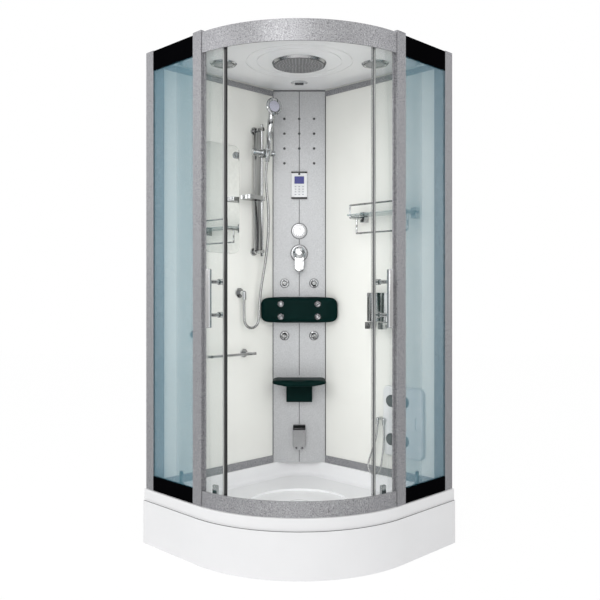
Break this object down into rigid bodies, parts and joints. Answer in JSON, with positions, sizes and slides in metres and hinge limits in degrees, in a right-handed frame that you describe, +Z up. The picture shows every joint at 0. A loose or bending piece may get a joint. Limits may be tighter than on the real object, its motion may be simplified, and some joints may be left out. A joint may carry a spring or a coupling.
{
  "type": "steam shower cabin",
  "caption": "Quarter-round steam shower cabin with curved sliding glass doors, deep tray, jet column, fold-up seat, hand shower and roof rain shower.",
  "frame": {"origin": "centre of the footprint's bounding box on the floor", "axes": "+Z up, -Y towards the person who faces the doors, the room corner at +Y, mirror plane of the shell at X = 0"},
  "size_m": [1.2728, 1.045, 2.03],
  "materials": {
    "white_acrylic": "glossy white acrylic",
    "wall_white": "glossy off-white panel",
    "speckled_grey": "satin silver grey with fine speckle",
    "side_glass": "clear with a blue-green tint",
    "door_glass": "clear with a light green tint",
    "black_trim": "glossy black",
    "chrome": "polished",
    "steel": "brushed",
    "pad": "dark green-black padding",
    "mirror": "silvered glass",
    "clear_glass": "clear glass shelf",
    "grey_rubber": "mid grey rubber",
    "seal": "dark soft seal",
    "white_plastic": "white plastic",
    "panel_silver": "satin silver with a display window",
    "galvanised": "zinc plated"
  },
  "bodies": {
    "cabin": {"shower_tray": "white_acrylic", "tray_apron": "white_acrylic", "tray_frame": "galvanised", "drain_trap": "white_plastic", "frame_posts": "speckled_grey", "top_rail": "speckled_grey", "bottom_rail": "speckled_grey", "side_glass": "side_glass", "side_bands": "black_trim", "wall_panels": "wall_white", "wall_trims": "speckled_grey", "column_panel": "speckled_grey", "roof_panel": "white_acrylic", "overhead_shower": "chrome", "roof_spots": "chrome", "vent_housing": "white_plastic", "water_pipes": "chrome", "column_nozzles": "chrome", "control_panel": "panel_silver", "steam_spout": "chrome", "steam_generator": "galvanised", "backrest": "pad", "seat_bracket": "steel", "riser_rail": "chrome", "handset_hose": "steel", "mirror": "mirror", "towel_bar": "chrome", "glass_shelf": "clear_glass", "shelf_frame": "chrome", "dispenser": "panel_silver", "foot_panel": "wall_white", "foot_studs": "grey_rubber", "foot_hose": "steel", "hose_outlets": "chrome"},
    "door_left": {"door_glass_left": "door_glass", "door_seal_left": "seal", "door_fittings_left": "chrome"},
    "door_right": {"door_glass_right": "door_glass", "door_seal_right": "seal", "door_fittings_right": "chrome"},
    "roller_left_front": {"door_roller_left_front": "white_plastic"},
    "roller_left_rear": {"door_roller_left_rear": "white_plastic"},
    "roller_right_front": {"door_roller_right_front": "white_plastic"},
    "roller_right_rear": {"door_roller_right_rear": "white_plastic"},
    "drain_cover": {"drain_cover": "chrome"},
    "vent_rotor": {"vent_rotor": "white_plastic"},
    "diverter": {"diverter_knob": "chrome"},
    "mixer_dome": {"mixer_dome": "chrome"},
    "mixer_lever": {"mixer_lever": "chrome"},
    "jet_upper_left": {"body_jet_upper_left": "chrome"},
    "jet_upper_right": {"body_jet_upper_right": "chrome"},
    "jet_lower_left": {"body_jet_lower_left": "chrome"},
    "jet_lower_right": {"body_jet_lower_right": "chrome"},
    "seat": {"seat": "pad"},
    "slider": {"handset_slider": "chrome"},
    "holder": {"handset_holder": "chrome"},
    "handset": {"handset": "chrome"},
    "soap_dish": {"soap_dish": "chrome"},
    "button_left": {"dispenser_button_left": "chrome"},
    "button_right": {"dispenser_button_right": "chrome"}
  },
  "joints": [
    {"name": "door_left_slide", "type": "hinge", "parent": "cabin", "child": "door_left", "pos_m": [0, 0.02751, 1.1], "axis": [0, 0, 1], "range_deg": [0, 31]},
    {"name": "door_right_slide", "type": "hinge", "parent": "cabin", "child": "door_right", "pos_m": [0, 0.02751, 1.1], "axis": [0, 0, -1], "range_deg": [0, 31]},
    {"name": "roller_left_front_spin", "type": "hinge", "parent": "door_left", "child": "roller_left_front", "pos_m": [-0.31189, -0.37169, 1.9774], "axis": [0.6157, 0.788, 0], "range_deg": [-5, 1440]},
    {"name": "roller_left_rear_spin", "type": "hinge", "parent": "door_left", "child": "roller_left_rear", "pos_m": [-0.47295, -0.15404, 1.9774], "axis": [0.9336, 0.3584, 0], "range_deg": [-5, 1440]},
    {"name": "roller_right_front_spin", "type": "hinge", "parent": "door_right", "child": "roller_right_front", "pos_m": [0.31189, -0.37169, 1.9774], "axis": [0.6157, -0.788, 0], "range_deg": [-5, 1440]},
    {"name": "roller_right_rear_spin", "type": "hinge", "parent": "door_right", "child": "roller_right_rear", "pos_m": [0.47295, -0.15404, 1.9774], "axis": [0.9336, -0.3584, 0], "range_deg": [-5, 1440]},
    {"name": "drain_cover_lift", "type": "slide", "parent": "cabin", "child": "drain_cover", "axis": [0, 0, 1], "range_m": [0, 0.06]},
    {"name": "vent_spin", "type": "hinge", "parent": "cabin", "child": "vent_rotor", "pos_m": [0, 0.23849, 1.999], "axis": [0, 0, 1], "continuous": true},
    {"name": "diverter_turn", "type": "hinge", "parent": "cabin", "child": "diverter", "pos_m": [0, 0.34, 1.31], "axis": [0, 1, 0], "range_deg": [-90, 90]},
    {"name": "mixer_turn", "type": "hinge", "parent": "cabin", "child": "mixer_dome", "pos_m": [0, 0.34, 1.205], "axis": [0, 1, 0], "range_deg": [-45, 45]},
    {"name": "mixer_lift", "type": "hinge", "parent": "mixer_dome", "child": "mixer_lever", "pos_m": [0, 0.32109, 1.205], "axis": [-1, 0, 0], "range_deg": [0, 20]},
    {"name": "jet_upper_left_tilt", "type": "hinge", "parent": "cabin", "child": "jet_upper_left", "pos_m": [-0.069, 0.35949, 1.064], "axis": [1, 0, 0], "range_deg": [-12, 12]},
    {"name": "jet_upper_right_tilt", "type": "hinge", "parent": "cabin", "child": "jet_upper_right", "pos_m": [0.069, 0.35949, 1.064], "axis": [1, 0, 0], "range_deg": [-12, 12]},
    {"name": "jet_lower_left_tilt", "type": "hinge", "parent": "cabin", "child": "jet_lower_left", "pos_m": [-0.069, 0.35949, 0.817], "axis": [1, 0, 0], "range_deg": [-12, 12]},
    {"name": "jet_lower_right_tilt", "type": "hinge", "parent": "cabin", "child": "jet_lower_right", "pos_m": [0.069, 0.35949, 0.817], "axis": [1, 0, 0], "range_deg": [-12, 12]},
    {"name": "seat_fold", "type": "hinge", "parent": "cabin", "child": "seat", "pos_m": [0, 0.33449, 0.606], "axis": [-1, 0, 0], "range_deg": [0, 85]},
    {"name": "slider_height", "type": "slide", "parent": "cabin", "child": "slider", "axis": [0, 0, 1], "range_m": [-0.12, 0.03], "deforming": ["handset_hose"]},
    {"name": "holder_tilt", "type": "hinge", "parent": "slider", "child": "holder", "pos_m": [-0.15938, 0.21315, 1.652], "axis": [0.8829, 0.4695, 0], "range_deg": [-12, 12]},
    {"name": "handset_lift", "type": "slide", "parent": "holder", "child": "handset", "axis": [0.1035, -0.1026, 0.9893], "range_m": [0, 0.045]},
    {"name": "soap_dish_height", "type": "slide", "parent": "cabin", "child": "soap_dish", "axis": [0, 0, 1], "range_m": [-0.2, 0.02]},
    {"name": "button_left_press", "type": "slide", "parent": "cabin", "child": "button_left", "axis": [0.7071, 0.7071, 0], "range_m": [0, 0.008], "stiffness_N_per_m": 250},
    {"name": "button_right_press", "type": "slide", "parent": "cabin", "child": "button_right", "axis": [0.7071, 0.7071, 0], "range_m": [0, 0.008], "stiffness_N_per_m": 250}
  ],
  "couplings": [
    {"joint": "roller_left_front_spin", "follows": "door_left_slide", "ratio": 46.054},
    {"joint": "roller_left_rear_spin", "follows": "door_left_slide", "ratio": 46.054},
    {"joint": "roller_right_front_spin", "follows": "door_right_slide", "ratio": 46.054},
    {"joint": "roller_right_rear_spin", "follows": "door_right_slide", "ratio": 46.054}
  ]
}
